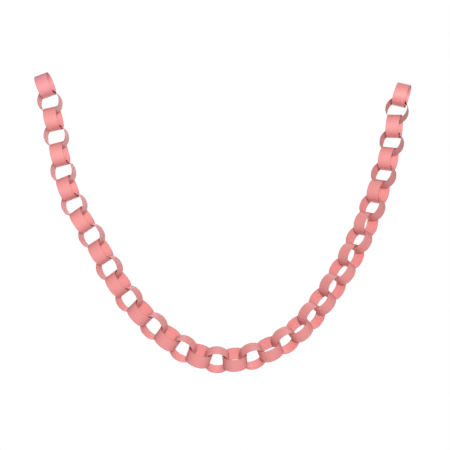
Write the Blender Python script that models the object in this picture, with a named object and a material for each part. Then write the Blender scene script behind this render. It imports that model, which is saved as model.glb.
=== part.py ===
"""Paper chain garland: forty strips of coral card, each rolled into a ring through the ring before it.

Metres, +Z up. The garland hangs in a curve from its two end rings and is seen from -Y. The origin is the
inside of the top of the left end ring, where a hook or a pin carries it.
"""

import math

import bpy
import numpy
from mathutils import Matrix, Vector

MM = 0.001

# The strips
LINK_COUNT = 40
STRIP_WIDTH = 38.0 * MM
CARD_THICKNESS = 0.3 * MM
LAP_LENGTH = 9.0 * MM  # where the two glued ends lie on each other

# The rings, measured outside
RING_LENGTH = 68.6 * MM  # along the chain
RING_BREADTH = 62.9 * MM  # across the chain
ROUNDNESS_EXPONENT = 2.09  # 2 is an oval, and more flattens the ends that the neighbours press on
LAP_SIDES = 2  # flat facets along the lap
OPEN_SIDES = 26  # flat facets along the rest of a ring

# The drape: a link's number, counted from the left, and an angle in degrees
SLOPES = ((1, -71), (3, -79), (6, -76.5), (9, -58), (12, -61.5), (14, -51.5), (16, -43), (18, -31),
          (20, -5.5), (22, 17), (24, 34), (26, 51), (29, 58), (32, 66.5), (35, 71), (38, 81), (40, 70))
TWISTS = ((1, 9.5), (5, 10), (10, 19.5), (15, 28.5), (20, 34), (25, 38.5), (30, 39.5), (35, 55), (40, 72.5))
EVEN_LEADS = ((13, 0), (19, 2.5), (26, 4.5), (31, 1.5))  # the even links' twist ahead of the odd ones'
QUARTER_TURN = 90.0  # from each ring to the next one

# The laps lie on the far side of the rings, straying a little to either side, apart from one that shows
LAP_STRAY = 25.0
SHOWN_LAP_LINK = 33
SHOWN_LAP_TURN = 150.0  # degrees round the ring from the far side

# Room between two rings that bear on each other
PAPER_GAP = 0.3 * MM

# The search for the place where a ring bears on the one before it
SEARCH_STEPS = 24
EDGE_SAMPLES = 24
CROWN_HALF_ANGLE = 75.0  # degrees to either side of a ring's end that can touch the next ring

# Coral card
CARD_COLOUR = (0.91, 0.34, 0.33, 1.0)
CARD_ROUGHNESS = 0.85


def clear_scene():
    """Take away whatever the file opened with."""
    for thing in list(bpy.data.objects):
        bpy.data.objects.remove(thing, do_unlink=True)


def card_material():
    """Matt coral card."""
    material = bpy.data.materials.new("coral_card")
    material.use_nodes = True
    shader = material.node_tree.nodes["Principled BSDF"]
    shader.inputs["Base Color"].default_value = CARD_COLOUR
    shader.inputs["Roughness"].default_value = CARD_ROUGHNESS
    shader.inputs["Metallic"].default_value = 0.0
    material.diffuse_color = CARD_COLOUR
    return material


def angle_at(stations, number):
    """The angle for one link, in radians, on straight lines between the stations."""
    numbers = [station[0] for station in stations]
    degrees = [station[1] for station in stations]
    return math.radians(numpy.interp(number, numbers, degrees))


def ring_axes(number):
    """A ring's own axes as columns: along the chain, across it, and the axis of the roll."""
    slope = angle_at(SLOPES, number)
    along = Vector((math.cos(slope), 0, math.sin(slope)))
    inward = Vector((-math.sin(slope), 0, math.cos(slope)))
    forward = Vector((0, -1, 0))
    twist = angle_at(TWISTS, number)
    half_lead = angle_at(EVEN_LEADS, number) / 2
    if number % 2 == 0:
        twist += math.radians(QUARTER_TURN) + half_lead
    else:
        twist -= half_lead
    roll_axis = math.cos(twist) * inward + math.sin(twist) * forward
    across = roll_axis.cross(along)
    return Matrix((along, across, roll_axis)).transposed()


def lap_start(number, axes):
    """The angle round a ring at which its lap starts, so that the lap's middle is where it should be."""
    far_side = Vector((0, 1, 0)) @ axes
    middle = math.atan2(far_side.y, far_side.x)
    if number == SHOWN_LAP_LINK:
        middle += math.radians(SHOWN_LAP_TURN)
    else:
        middle += math.radians(LAP_STRAY) * math.sin(number * number)
    return middle - lap_angle() / 2


def lap_angle():
    """The angle that the lap covers at a ring's mean radius."""
    return 4 * LAP_LENGTH / (RING_LENGTH + RING_BREADTH)


def outline_point(angle, inset):
    """A point of a ring's outline in the ring's own plane, so far inside the outermost face."""
    cosine = math.cos(angle)
    sine = math.sin(angle)
    power = 2 / ROUNDNESS_EXPONENT
    x = (RING_LENGTH / 2 - inset) * math.copysign(abs(cosine) ** power, cosine)
    y = (RING_BREADTH / 2 - inset) * math.copysign(abs(sine) ** power, sine)
    return (x, y)


def ring_faces(start):
    """The outer and inner faces of a ring whose lap starts at an angle, as two spirals of one turn each.

    Each spiral closes with a step of one thickness: the outer one at the strip's outer end, the inner one
    at its inner end. So the wall is one thickness of card, and two along the lap.
    """
    whole_turn = 2 * math.pi
    lap = lap_angle()
    lap_part = [start + lap * side / LAP_SIDES for side in range(LAP_SIDES)]
    rest_angle = whole_turn - lap
    open_part = [start + lap + rest_angle * side / OPEN_SIDES for side in range(OPEN_SIDES)]
    inner_angles = lap_part + open_part + [start + whole_turn]
    outer_angles = open_part + [angle + whole_turn for angle in lap_part] + [start + lap + whole_turn]

    def inset_at(angle):
        """How far the strip's outer face lies inside the outermost point of the spiral."""
        return CARD_THICKNESS * (start + lap + whole_turn - angle) / whole_turn

    outer = [outline_point(angle, inset_at(angle)) for angle in outer_angles]
    inner = [outline_point(angle, inset_at(angle) + CARD_THICKNESS) for angle in inner_angles]
    return outer, inner


class Ring:
    """One link: where it lies and the outline of its two faces."""

    def __init__(self, number):
        self.number = number
        self.axes = ring_axes(number)
        self.outer, self.inner = ring_faces(lap_start(number, self.axes))
        self.centre = Vector((0, 0, 0))

    def edge_points(self, end):
        """Points along both edges of the inner face near one end of the ring, from the ring's centre."""
        points = []
        for first, second in zip(self.inner, self.inner[1:]):
            for sample in range(EDGE_SAMPLES):
                share = sample / EDGE_SAMPLES
                x = first[0] + (second[0] - first[0]) * share
                y = first[1] + (second[1] - first[1]) * share
                if abs(math.atan2(y, end * x)) < math.radians(CROWN_HALF_ANGLE):
                    points.append((x, y, STRIP_WIDTH / 2))
                    points.append((x, y, -STRIP_WIDTH / 2))
        return numpy.array(points) @ numpy.array(self.axes).T

    def room_inside(self, points):
        """The least room between the inner face and those points that lie within the strip's width."""
        local = points @ numpy.array(self.axes)
        local = local[abs(local[:, 2]) < STRIP_WIDTH / 2 + PAPER_GAP]
        room = RING_LENGTH
        for first, second in zip(self.inner, self.inner[1:]):
            side = numpy.subtract(second, first)
            inward = numpy.array((-side[1], side[0])) / math.hypot(*side)
            distances = (local[:, :2] - first) @ inward
            room = min(room, distances.min(initial=room))
        return room


def seat_distance(ring, following, direction):
    """How far along a direction the following ring's centre lies when the two rings bear on each other."""
    step = numpy.array(direction)
    ring_edges = ring.edge_points(1)
    following_edges = following.edge_points(-1)
    nearest = 0.0
    farthest = RING_LENGTH
    for _ in range(SEARCH_STEPS):
        distance = (nearest + farthest) / 2
        room = min(ring.room_inside(following_edges + distance * step),
                   following.room_inside(ring_edges - distance * step))
        if room > PAPER_GAP:
            nearest = distance
        else:
            farthest = distance
    return nearest


def lay_out_rings():
    """Hang every ring in the one before it, the first with the inside of its top at the origin."""
    rings = [Ring(number) for number in range(1, LINK_COUNT + 1)]
    first = rings[0]
    first.centre = first.axes.col[0] * (RING_LENGTH / 2 - 2 * CARD_THICKNESS)
    for ring, following in zip(rings, rings[1:]):
        direction = (ring.axes.col[0] + following.axes.col[0]).normalized()
        following.centre = ring.centre + seat_distance(ring, following, direction) * direction
    return rings


def build_link(ring, material, collection):
    """One ring of card: its outline between the two faces, as wide as the strip."""
    name = f"link_{ring.number:02d}"
    curve = bpy.data.curves.new(name, "CURVE")
    curve.dimensions = "2D"
    curve.fill_mode = "BOTH"
    curve.extrude = STRIP_WIDTH / 2
    for face in (ring.outer, ring.inner):
        spline = curve.splines.new("POLY")
        spline.points.add(len(face) - 1)
        for point, place in zip(spline.points, face):
            point.co = (place[0], place[1], 0, 1)
        spline.use_cyclic_u = True
    curve.materials.append(material)
    link = bpy.data.objects.new(name, curve)
    link.matrix_world = Matrix.Translation(ring.centre) @ ring.axes.to_4x4()
    collection.objects.link(link)


def build():
    """The whole garland."""
    clear_scene()
    collection = bpy.data.collections.new("paper_chain_garland")
    bpy.context.scene.collection.children.link(collection)
    material = card_material()
    for ring in lay_out_rings():
        build_link(ring, material, collection)


build()
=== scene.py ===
"""Looks of a paper chain garland: forty strips of coral card, each rolled into a ring through the last."""

import math

import bpy
import numpy
from mathutils import Matrix, Vector


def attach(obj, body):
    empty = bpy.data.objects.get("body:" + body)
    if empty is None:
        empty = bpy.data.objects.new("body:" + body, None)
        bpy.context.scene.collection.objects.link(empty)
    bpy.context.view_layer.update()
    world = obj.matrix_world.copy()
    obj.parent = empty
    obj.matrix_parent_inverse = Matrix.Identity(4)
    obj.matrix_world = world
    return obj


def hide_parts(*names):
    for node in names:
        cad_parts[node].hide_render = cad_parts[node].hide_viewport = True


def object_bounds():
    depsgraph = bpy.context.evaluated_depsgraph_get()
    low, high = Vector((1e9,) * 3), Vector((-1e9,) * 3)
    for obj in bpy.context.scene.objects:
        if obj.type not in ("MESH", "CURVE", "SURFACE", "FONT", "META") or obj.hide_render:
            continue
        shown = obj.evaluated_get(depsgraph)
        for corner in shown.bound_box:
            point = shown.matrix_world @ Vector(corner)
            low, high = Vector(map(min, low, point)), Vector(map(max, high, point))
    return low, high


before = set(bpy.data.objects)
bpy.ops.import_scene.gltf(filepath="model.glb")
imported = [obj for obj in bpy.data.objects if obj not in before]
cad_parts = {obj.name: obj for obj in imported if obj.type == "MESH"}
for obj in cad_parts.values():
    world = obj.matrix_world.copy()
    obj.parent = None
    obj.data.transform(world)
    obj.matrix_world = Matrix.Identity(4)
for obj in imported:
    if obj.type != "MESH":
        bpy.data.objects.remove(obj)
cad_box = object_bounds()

MM = 0.001
MATHS = "ShaderNodeMath"

# The strips and rings, as the construction has them
STRIP_WIDTH = 38.0 * MM
CARD_THICKNESS = 0.3 * MM
LAP_LENGTH = 9.0 * MM
RING_LENGTH = 68.6 * MM
RING_BREADTH = 62.9 * MM
ROUNDNESS_EXPONENT = 2.09
LAP_STRAY = math.radians(25.0)
SHOWN_LAP_LINK = 33
SHOWN_LAP_TURN = math.radians(150.0)
COOL_SHEET_LINK = 1  # the first strip comes from a sheet of a cooler pink than the rest

# What hand rolling leaves in the card
GLUE_LINE = 0.03 * MM
END_LIFT = 0.35 * MM  # how far the outer end of a strip stands off the lap
LIFT_LENGTH = 5.0 * MM
RIPPLE_HEIGHT = 0.35 * MM  # how far a strip's edges wander in and out between the rings that hold it
RIPPLE_LENGTH = 30.0 * MM
EDGES_APART = 0.8  # how unlike the ripples of a strip's two edges are, as a distance in their noise
RINGS_APART = 37.0  # the same for two rings, for each metre between their stretches of the sheet
SHEET_STEP = 310.0 * MM  # from one strip's stretch of the sheet to the next one's

# The card's colours, its finish and the real sizes of its patterns
CARD_TINTS = ("#df8a88", "#e78f8d")  # where the pulp lies thick, and where it lies thin
COOLER = (1.0, 0.99, 1.11)  # the cooler sheet's tint, as a share of the others'
UNEVENNESS = 0.03  # how much lighter or darker a fibre or a part of the sheet can be
EDGE_TINTS = ("#cf7d7a", "#dd8f8b")
CARD_GLOSS = 1.0  # twice that of plain paper, for the sheen on the steep walls of the rings
SMOOTHEST = 0.52
ROUGHEST = 0.64
CLOUD_SIZE = 6.0 * MM
FIBRE_LENGTH = 2.0 * MM
FIBRE_WIDTH = 0.4 * MM  # drawn coarser than a real fibre, so that it shows
TOOTH_SIZE = 0.7 * MM
TOOTH_HEIGHT = 0.05 * MM
FUZZ_SIZE = 0.8 * MM
SHEET_WAVE = 300.0 * MM  # from a lighter to a darker part of the sheet
EDGE_SHADE_WIDTH = 2.0 * MM  # how wide the painted shade along the strip's edges is, on both faces
PAINTED_EDGE_SHADE = 0.70  # painted shade: how much of its colour the very edge keeps, as a share of the rest, for a dark outline along the strip

# Fineness of the rolled strips
SPANS_ROUND = 150
SPANS_ACROSS = 10
SHARP_ANGLE = math.radians(40.0)
OUTLINE_SAMPLES = 720

# The camera, which stands a little to the left and looks up
TARGET = Vector((0.5323, 0, -0.4386))
CAMERA_DISTANCE = 2.330
CAMERA_AZIMUTH = math.radians(-2.45)
CAMERA_ELEVATION = math.radians(-10.33)
CAMERA_LENS = 65.7
SENSOR_WIDTH = 36.0

# The stage and the lamps, whose places are counted from the camera's target
FLOOR_DROP = 1.1  # from the garland's lowest point to the floor
FLOOR_SIZE = 18.0
FLOOR_PAINT = "#7b7b7b"  # what it reflects, kept low so that it throws little light up at the garland
FLOOR_WHITENESS = 0.93  # how white the floor is to the eye, whatever light falls on it
WHITE = "#ffffff"
WORLD_LIGHT = 0.04  # how much of the white surroundings falls on the card
KEY_PLACE = (0.1, -3.02, -0.02)  # in front, behind the camera
KEY_SIZE = 0.77
KEY_POWER = 106.9
TOP_PLACE = (0.29, 2.45, 4.37)  # high up behind the garland
TOP_SIZE = 1.58
TOP_POWER = 45.0
BACK_PLACE = (0.3, 3.2, 0.3)  # straight behind the garland
BACK_SIZE = 3.2
BACK_POWER = 80.0


def linear(code):
    """A colour given as sRGB hex, in the linear values that shaders take."""
    channels = [int(code[start:start + 2], 16) / 255 for start in (1, 3, 5)]
    return tuple(c / 12.92 if c <= 0.04045 else ((c + 0.055) / 1.055) ** 2.4 for c in channels) + (1.0,)


def add_node(tree, kind, inputs=None, **settings):
    """Add a node with its settings.

    Each input is a plain value, a socket to link, or a node whose first output is linked.
    """
    node = tree.nodes.new(kind)
    for name, value in settings.items():
        setattr(node, name, value)
    for key, value in (inputs or {}).items():
        if isinstance(value, bpy.types.Node):
            value = value.outputs[0]
        if isinstance(value, bpy.types.NodeSocket):
            tree.links.new(value, node.inputs[key])
        else:
            node.inputs[key].default_value = value
    return node


def card_colour(tree, strip, fibres):
    """The colour of one strip: its dye, its clouds and fibres, its own part of the sheet and a painted
    shade along its edges.
    """
    # Clouds of fibre, as a sheet shows where its pulp lies thicker
    clouds = add_node(tree, "ShaderNodeTexNoise", {
        "Vector": strip, "Scale": 1 / CLOUD_SIZE, "Detail": 4.0})
    tint = add_node(tree, "ShaderNodeValToRGB", {"Fac": clouds})
    tint.color_ramp.elements[0].position = 0.3
    tint.color_ramp.elements[0].color = linear(CARD_TINTS[0])
    tint.color_ramp.elements[1].position = 0.7
    tint.color_ramp.elements[1].color = linear(CARD_TINTS[1])
    # A sheet of a cooler pink reflects a little more blue and a little less green
    cooled = add_node(tree, "ShaderNodeVectorMath", {0: tint, 1: COOLER}, operation="MULTIPLY")
    cool = add_node(tree, "ShaderNodeAttribute", attribute_name="cool_sheet").outputs["Fac"]
    dyed = add_node(tree, "ShaderNodeMix", {"Factor": cool, "A": tint, "B": cooled}, data_type="RGBA")
    fleck = add_node(tree, "ShaderNodeMapRange", {
        "Value": fibres, "From Min": 0.35, "From Max": 0.75,
        "To Min": 1 - UNEVENNESS, "To Max": 1 + UNEVENNESS})
    # No two strips are alike: each is its own stretch of the sheet, so a long wave sets them apart
    sheet = add_node(tree, "ShaderNodeTexNoise", {
        "Vector": strip, "Scale": 1 / SHEET_WAVE, "Detail": 0.0})
    batch = add_node(tree, "ShaderNodeMapRange", {
        "Value": sheet, "From Min": 0.3, "From Max": 0.7,
        "To Min": 1 - UNEVENNESS, "To Max": 1 + UNEVENNESS})
    across = add_node(tree, "ShaderNodeSeparateXYZ", {0: strip}).outputs["Y"]
    off_middle = add_node(tree, MATHS, {0: across}, operation="ABSOLUTE")
    # Painted shade: the colour darkens smoothly towards both cut edges, drawing a dark outline along the
    # strip
    painted_edge_shade = add_node(tree, "ShaderNodeMapRange", {
        "Value": off_middle, "From Min": STRIP_WIDTH / 2 - EDGE_SHADE_WIDTH, "From Max": STRIP_WIDTH / 2,
        "To Min": 1.0, "To Max": PAINTED_EDGE_SHADE}, interpolation_type="SMOOTHSTEP")
    shade = add_node(tree, MATHS, {0: fleck, 1: batch}, operation="MULTIPLY")
    shade = add_node(tree, MATHS, {0: shade, 1: painted_edge_shade}, operation="MULTIPLY")
    return add_node(tree, "ShaderNodeVectorMath", {
        0: dyed.outputs["Result"], "Scale": shade}, operation="SCALE")


def coral_card():
    """Dyed craft card, calendered but uncoated: matt, with faint clouds of fibre and a fine tooth.

    Its edges are painted a little darker, as a painted shade that draws a dark outline along them.
    """
    material = bpy.data.materials.new("coral_craft_card")
    material.use_nodes = True
    tree = material.node_tree
    tree.nodes.clear()
    strip = add_node(tree, "ShaderNodeUVMap", uv_map="strip")
    # Single fibres, which lie along the strip
    fibre_scale = (1 / FIBRE_LENGTH, 1 / FIBRE_WIDTH, 1)
    lie = add_node(tree, "ShaderNodeMapping", {"Vector": strip, "Scale": fibre_scale})
    fibres = add_node(tree, "ShaderNodeTexNoise", {
        "Vector": lie, "Scale": 1.0, "Detail": 3.0, "Roughness": 0.6})
    tooth = add_node(tree, "ShaderNodeTexNoise", {
        "Vector": strip, "Scale": 1 / TOOTH_SIZE, "Detail": 4.0})
    relief = add_node(tree, MATHS, {0: tooth, 1: fibres}, operation="ADD")
    bump = add_node(tree, "ShaderNodeBump", {
        "Height": relief, "Strength": 0.25, "Distance": TOOTH_HEIGHT})
    rough = add_node(tree, "ShaderNodeMapRange", {
        "Value": fibres, "To Min": SMOOTHEST, "To Max": ROUGHEST})
    shader = add_node(tree, "ShaderNodeBsdfPrincipled", {
        "Base Color": card_colour(tree, strip, fibres), "Roughness": rough, "Normal": bump,
        "IOR": 1.5, "Specular IOR Level": CARD_GLOSS})
    add_node(tree, "ShaderNodeOutputMaterial", {"Surface": shader})
    return material


def cut_edge():
    """The guillotined edge of the card: deeper in colour and rougher, for cut fibres stand open there."""
    material = bpy.data.materials.new("coral_card_cut_edge")
    material.use_nodes = True
    tree = material.node_tree
    tree.nodes.clear()
    place = add_node(tree, "ShaderNodeTexCoord").outputs["Object"]
    fuzz = add_node(tree, "ShaderNodeTexNoise", {"Vector": place, "Scale": 1 / FUZZ_SIZE, "Detail": 3.0})
    tint = add_node(tree, "ShaderNodeMix", {
        "Factor": fuzz, "A": linear(EDGE_TINTS[0]), "B": linear(EDGE_TINTS[1])}, data_type="RGBA")
    shader = add_node(tree, "ShaderNodeBsdfPrincipled", {
        "Base Color": tint.outputs["Result"], "Roughness": 1.0, "Specular IOR Level": 0.1})
    add_node(tree, "ShaderNodeOutputMaterial", {"Surface": shader})
    return material


def strip_inputs(tree):
    """Give the node tree its named inputs and its output, and hand the inputs back."""
    sizes = ("Strip Width", "Card Thickness", "Ring Length", "Ring Breadth", "Roundness Exponent",
             "Lap Start", "Lap Angle", "Glue Line", "End Lift", "Lift Share", "Ripple Height",
             "Ripple Length", "Seed", "Strip Length", "Cool Sheet")
    for name in sizes:
        tree.interface.new_socket(name, in_out="INPUT", socket_type="NodeSocketFloat")
    tree.interface.new_socket("Place", in_out="INPUT", socket_type="NodeSocketVector")
    tree.interface.new_socket("Turn", in_out="INPUT", socket_type="NodeSocketVector")
    tree.interface.new_socket("Card", in_out="INPUT", socket_type="NodeSocketMaterial")
    tree.interface.new_socket("Cut Edge", in_out="INPUT", socket_type="NodeSocketMaterial")
    tree.interface.new_socket("Geometry", in_out="OUTPUT", socket_type="NodeSocketGeometry")
    return add_node(tree, "NodeGroupInput").outputs


def flat_strip(tree, given, along, across):
    """A flat strip that knows its cut edges, its stretch of the sheet and the sheet's colour."""
    flat = add_node(tree, "GeometryNodeMeshCube", {
        "Size": (1, 1, 1), "Vertices X": SPANS_ROUND + 1, "Vertices Y": SPANS_ACROSS + 1, "Vertices Z": 2})
    facing = add_node(tree, "ShaderNodeSeparateXYZ", {0: add_node(tree, "GeometryNodeInputNormal")})
    upright = add_node(tree, MATHS, {0: facing.outputs["Z"]}, operation="ABSOLUTE")
    side_on = add_node(tree, MATHS, {0: upright, 1: 0.5}, operation="LESS_THAN")
    marked = add_node(tree, "GeometryNodeStoreNamedAttribute", {
        "Geometry": flat, "Name": "cut_edge", "Value": side_on}, data_type="BOOLEAN", domain="FACE")
    run = add_node(tree, MATHS, {
        0: along, 1: given["Strip Length"], 2: given["Seed"]}, operation="MULTIPLY_ADD")
    laid = add_node(tree, "ShaderNodeCombineXYZ", {0: run, 1: across})
    mapped = add_node(tree, "GeometryNodeStoreNamedAttribute", {
        "Geometry": marked, "Name": "strip", "Value": laid}, data_type="FLOAT2", domain="CORNER")
    return add_node(tree, "GeometryNodeStoreNamedAttribute", {
        "Geometry": mapped, "Name": "cool_sheet", "Value": given["Cool Sheet"]}, data_type="FLOAT")


def wound_inset(tree, given, along, height, winding):
    """How far a point of the strip lies inside the ring's outermost face, and how far its end is lifted.

    The strip winds outwards by one thickness a turn, so that its ends can lie on each other, and its
    outer end stands a little off the lap.
    """
    layer = add_node(tree, MATHS, {0: given["Card Thickness"], 1: given["Glue Line"]}, operation="ADD")
    rest = add_node(tree, MATHS, {0: 1.0, 1: along}, operation="SUBTRACT")
    rest_angle = add_node(tree, MATHS, {0: rest, 1: winding}, operation="MULTIPLY")
    turns_left = add_node(tree, MATHS, {0: rest_angle, 1: math.tau}, operation="DIVIDE")
    spiral = add_node(tree, MATHS, {0: layer, 1: turns_left}, operation="MULTIPLY")
    depth = add_node(tree, MATHS, {0: 0.5, 1: height}, operation="SUBTRACT")
    wall = add_node(tree, MATHS, {0: depth, 1: given["Card Thickness"]}, operation="MULTIPLY")
    pressed = add_node(tree, MATHS, {0: spiral, 1: wall}, operation="ADD")
    lift_start = add_node(tree, MATHS, {0: 1.0, 1: given["Lift Share"]}, operation="SUBTRACT")
    lift = add_node(tree, "ShaderNodeMapRange", {
        "Value": along, "From Min": lift_start, "From Max": 1.0,
        "To Min": 0.0, "To Max": given["End Lift"]}, interpolation_type="SMOOTHSTEP")
    return pressed, lift


def edge_ripple(tree, given, cosine, sine, side):
    """The wander of the edges, where no neighbour bears on them, which is at the sides of the ring."""
    round_place = add_node(tree, "ShaderNodeCombineXYZ", {0: cosine, 1: sine})
    twice_length = add_node(tree, MATHS, {0: given["Ripple Length"], 1: 2.0}, operation="MULTIPLY")
    reach = add_node(tree, MATHS, {0: given["Ring Length"], 1: twice_length}, operation="DIVIDE")
    spread = add_node(tree, "ShaderNodeVectorMath", {0: round_place, "Scale": reach}, operation="SCALE")
    ring_depth = add_node(tree, MATHS, {0: given["Seed"], 1: RINGS_APART}, operation="MULTIPLY")
    depth = add_node(tree, MATHS, {0: side, 1: EDGES_APART, 2: ring_depth}, operation="MULTIPLY_ADD")
    wander = add_node(tree, "ShaderNodeTexNoise", {
        "Vector": spread, "W": depth, "Scale": 1.0, "Detail": 1.0}, noise_dimensions="4D")
    off_middle = add_node(tree, MATHS, {0: side, 1: 2.0}, operation="MULTIPLY")
    off_middle = add_node(tree, MATHS, {0: off_middle}, operation="ABSOLUTE")
    edgewise = add_node(tree, MATHS, {0: off_middle, 1: 2.0}, operation="POWER")
    off_crown = add_node(tree, MATHS, {0: sine}, operation="ABSOLUTE")
    sideways = add_node(tree, MATHS, {0: off_crown, 1: 2.0}, operation="POWER")
    whole_swing = add_node(tree, MATHS, {0: given["Ripple Height"], 1: 2.0}, operation="MULTIPLY")
    sway = add_node(tree, MATHS, {0: wander, 1: 0.5}, operation="SUBTRACT")
    swing = add_node(tree, MATHS, {0: sway, 1: whole_swing}, operation="MULTIPLY")
    share = add_node(tree, MATHS, {0: edgewise, 1: sideways}, operation="MULTIPLY")
    return add_node(tree, MATHS, {0: swing, 1: share}, operation="MULTIPLY")


def on_outline(tree, given, direction, size, inset):
    """One coordinate of a point that lies so far inside the ring's rounded outline."""
    power = add_node(tree, MATHS, {0: 2.0, 1: given["Roundness Exponent"]}, operation="DIVIDE")
    reach = add_node(tree, MATHS, {0: direction}, operation="ABSOLUTE")
    bulge = add_node(tree, MATHS, {0: reach, 1: power}, operation="POWER")
    half_size = add_node(tree, MATHS, {0: given[size], 1: 0.5}, operation="MULTIPLY")
    radius = add_node(tree, MATHS, {0: half_size, 1: inset}, operation="SUBTRACT")
    way = add_node(tree, MATHS, {0: direction}, operation="SIGN")
    signed = add_node(tree, MATHS, {0: bulge, 1: way}, operation="MULTIPLY")
    return add_node(tree, MATHS, {0: signed, 1: radius}, operation="MULTIPLY")


def rolled_strip_tree():
    """A node tree that rolls a flat strip into a ring with lapped ends and puts it in its place."""
    tree = bpy.data.node_groups.new("rolled_strip", "GeometryNodeTree")
    given = strip_inputs(tree)
    spot = add_node(tree, "ShaderNodeSeparateXYZ", {0: add_node(tree, "GeometryNodeInputPosition")})
    side = spot.outputs["Y"]
    along = add_node(tree, MATHS, {0: spot.outputs["X"], 1: 0.5}, operation="ADD")
    across = add_node(tree, MATHS, {0: side, 1: given["Strip Width"]}, operation="MULTIPLY")
    flat = flat_strip(tree, given, along, across)

    winding = add_node(tree, MATHS, {0: given["Lap Angle"], 1: math.tau}, operation="ADD")
    angle = add_node(tree, MATHS, {0: along, 1: winding, 2: given["Lap Start"]}, operation="MULTIPLY_ADD")
    cosine = add_node(tree, MATHS, {0: angle}, operation="COSINE")
    sine = add_node(tree, MATHS, {0: angle}, operation="SINE")
    pressed, lift = wound_inset(tree, given, along, spot.outputs["Z"], winding)
    ripple = edge_ripple(tree, given, cosine, sine, side)
    loose = add_node(tree, MATHS, {0: ripple, 1: lift}, operation="SUBTRACT")
    inset = add_node(tree, MATHS, {0: pressed, 1: loose}, operation="ADD")
    x = on_outline(tree, given, cosine, "Ring Length", inset)
    y = on_outline(tree, given, sine, "Ring Breadth", inset)
    rolled_place = add_node(tree, "ShaderNodeCombineXYZ", {0: x, 1: y, 2: across})
    rolled = add_node(tree, "GeometryNodeSetPosition", {"Geometry": flat, "Position": rolled_place})
    placed = add_node(tree, "GeometryNodeTransform", {
        "Geometry": rolled, "Translation": given["Place"], "Rotation": given["Turn"]})
    real = add_node(tree, "GeometryNodeRealizeInstances", {"Geometry": placed})
    faced = add_node(tree, "GeometryNodeSetMaterial", {"Geometry": real, "Material": given["Card"]})
    is_edge = add_node(tree, "GeometryNodeInputNamedAttribute", {
        "Name": "cut_edge"}, data_type="BOOLEAN")
    edged = add_node(tree, "GeometryNodeSetMaterial", {
        "Geometry": faced, "Selection": is_edge, "Material": given["Cut Edge"]})
    add_node(tree, "NodeGroupOutput", {"Geometry": edged})
    return tree


def ring_place(name):
    """Where a ring lies: its centre, and its axes along the chain, across it and of its roll."""
    points = numpy.unique([tuple(vertex.co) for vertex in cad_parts[name].data.vertices], axis=0)
    spread = points - points.mean(axis=0)
    roll_axis = Vector(numpy.linalg.svd(spread, full_matrices=False)[2][2])
    if roll_axis.y > 0:
        roll_axis.negate()
    along = roll_axis.cross(Vector((0, 1, 0))).normalized()
    if along.x < 0:
        along.negate()
    axes = Matrix((along, roll_axis.cross(along), roll_axis)).transposed()
    local = points @ numpy.array(axes)
    centre = axes @ Vector((local.max(axis=0) + local.min(axis=0)) / 2)
    return centre, axes


def strip_length():
    """The length of a strip: once round the middle of its thickness and the lap."""
    turns = numpy.linspace(0, math.tau, OUTLINE_SAMPLES + 1)
    power = 2 / ROUNDNESS_EXPONENT
    half_length = (RING_LENGTH - CARD_THICKNESS) / 2
    half_breadth = (RING_BREADTH - CARD_THICKNESS) / 2
    x = half_length * numpy.sign(numpy.cos(turns)) * abs(numpy.cos(turns)) ** power
    y = half_breadth * numpy.sign(numpy.sin(turns)) * abs(numpy.sin(turns)) ** power
    return float(numpy.hypot(numpy.diff(x), numpy.diff(y)).sum()) + LAP_LENGTH


def roll_ring(number, tree, card, edge, whole_strip):
    """One ring of the chain, rolled by the node tree and made a plain mesh."""
    node = f"link_{number:02d}"
    centre, axes = ring_place(node)
    lap_angle = 4 * LAP_LENGTH / (RING_LENGTH + RING_BREADTH)
    lap_middle = math.copysign(math.pi / 2, axes[1][1])
    if number == SHOWN_LAP_LINK:
        lap_middle += SHOWN_LAP_TURN
    else:
        lap_middle += LAP_STRAY * math.sin(number * number)
    values = {
        "Strip Width": STRIP_WIDTH, "Card Thickness": CARD_THICKNESS, "Ring Length": RING_LENGTH,
        "Ring Breadth": RING_BREADTH, "Roundness Exponent": ROUNDNESS_EXPONENT,
        "Lap Start": lap_middle - lap_angle / 2, "Lap Angle": lap_angle, "Glue Line": GLUE_LINE,
        "End Lift": END_LIFT, "Lift Share": LIFT_LENGTH / whole_strip, "Ripple Height": RIPPLE_HEIGHT,
        "Ripple Length": RIPPLE_LENGTH, "Seed": number * SHEET_STEP, "Strip Length": whole_strip,
        "Cool Sheet": float(number == COOL_SHEET_LINK), "Place": centre, "Turn": axes.to_euler(),
        "Card": card, "Cut Edge": edge}
    blank = bpy.data.objects.new(f"blank_{number:02d}", bpy.data.meshes.new("blank"))
    bpy.context.scene.collection.objects.link(blank)
    modifier = blank.modifiers.new("roll", "NODES")
    modifier.node_group = tree
    for socket in tree.interface.items_tree:
        if socket.in_out == "INPUT":
            modifier[socket.identifier] = values[socket.name]
    bpy.context.view_layer.update()
    evaluated = blank.evaluated_get(bpy.context.evaluated_depsgraph_get())
    mesh = bpy.data.meshes.new_from_object(evaluated)
    bpy.data.objects.remove(blank)
    mesh.name = f"paper_ring_{number:02d}"
    mesh.shade_smooth()
    mesh.set_sharp_from_angle(angle=SHARP_ANGLE)
    ring = bpy.data.objects.new(mesh.name, mesh)
    bpy.context.scene.collection.objects.link(ring)
    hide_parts(node)
    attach(ring, "root")


def seen_directly(tree):
    """1 for rays from the camera or off a sheen, and 0 for the rays that only carry light to the card."""
    path = add_node(tree, "ShaderNodeLightPath").outputs
    return add_node(tree, MATHS, {
        0: path["Is Camera Ray"], 1: path["Is Glossy Ray"]}, operation="MAXIMUM")


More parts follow.
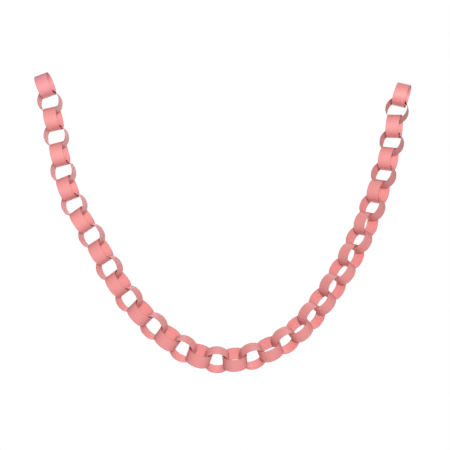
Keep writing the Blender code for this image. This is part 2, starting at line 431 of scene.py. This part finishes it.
def floor():
    """A plain pale floor well below the garland, bright enough to run into the white behind it."""
    bpy.ops.mesh.primitive_plane_add(size=FLOOR_SIZE)
    plane = bpy.context.object
    plane.name = "floor"
    plane.location = (TARGET.x, 0, cad_box[0].z - FLOOR_DROP)
    material = bpy.data.materials.new("matt_white_paint")
    material.use_nodes = True
    tree = material.node_tree
    tree.nodes.clear()
    glow = add_node(tree, MATHS, {0: seen_directly(tree), 1: FLOOR_WHITENESS}, operation="MULTIPLY")
    shader = add_node(tree, "ShaderNodeBsdfPrincipled", {
        "Base Color": linear(FLOOR_PAINT), "Roughness": 0.9, "Emission Color": linear(WHITE),
        "Emission Strength": glow})
    add_node(tree, "ShaderNodeOutputMaterial", {"Surface": shader})
    plane.data.materials.append(material)


def surroundings():
    """White all round: pure white to the eye and in the card's sheen, and much dimmer as light on it."""
    world = bpy.data.worlds.new("white_studio")
    bpy.context.scene.world = world
    world.use_nodes = True
    tree = world.node_tree
    tree.nodes.clear()
    level = add_node(tree, "ShaderNodeMapRange", {
        "Value": seen_directly(tree), "To Min": WORLD_LIGHT, "To Max": 1.0})
    white = add_node(tree, "ShaderNodeBackground", {"Color": linear(WHITE), "Strength": level})
    add_node(tree, "ShaderNodeOutputWorld", {"Surface": white})


def softbox(name, place, size, power):
    """A square softbox that faces the middle of the garland and stays out of the picture."""
    lamp = bpy.data.lights.new(name, "AREA")
    lamp.size = size
    lamp.energy = power
    holder = bpy.data.objects.new(name, lamp)
    holder.location = TARGET + Vector(place)
    holder.rotation_euler = (-Vector(place)).to_track_quat("-Z", "Y").to_euler()
    holder.visible_camera = False
    bpy.context.scene.collection.objects.link(holder)


def camera():
    """The camera of the photo: in front, a little to the left and below, looking up."""
    lens = bpy.data.cameras.new("camera")
    lens.lens = CAMERA_LENS
    lens.sensor_width = SENSOR_WIDTH
    holder = bpy.data.objects.new("camera", lens)
    level = math.cos(CAMERA_ELEVATION)
    back = Vector((math.sin(CAMERA_AZIMUTH) * level, -math.cos(CAMERA_AZIMUTH) * level,
                   math.sin(CAMERA_ELEVATION)))
    holder.location = TARGET + back * CAMERA_DISTANCE
    holder.rotation_euler = (-back).to_track_quat("-Z", "Y").to_euler()
    bpy.context.scene.collection.objects.link(holder)
    bpy.context.scene.camera = holder


def dress():
    """The whole scene."""
    camera()
    card = coral_card()
    edge = cut_edge()
    tree = rolled_strip_tree()
    whole_strip = strip_length()
    for number in range(1, len(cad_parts) + 1):
        roll_ring(number, tree, card, edge, whole_strip)
    floor()
    surroundings()
    softbox("key_softbox", KEY_PLACE, KEY_SIZE, KEY_POWER)
    softbox("top_softbox", TOP_PLACE, TOP_SIZE, TOP_POWER)
    softbox("back_softbox", BACK_PLACE, BACK_SIZE, BACK_POWER)
    bpy.context.scene.view_settings.view_transform = "Standard"


dress()
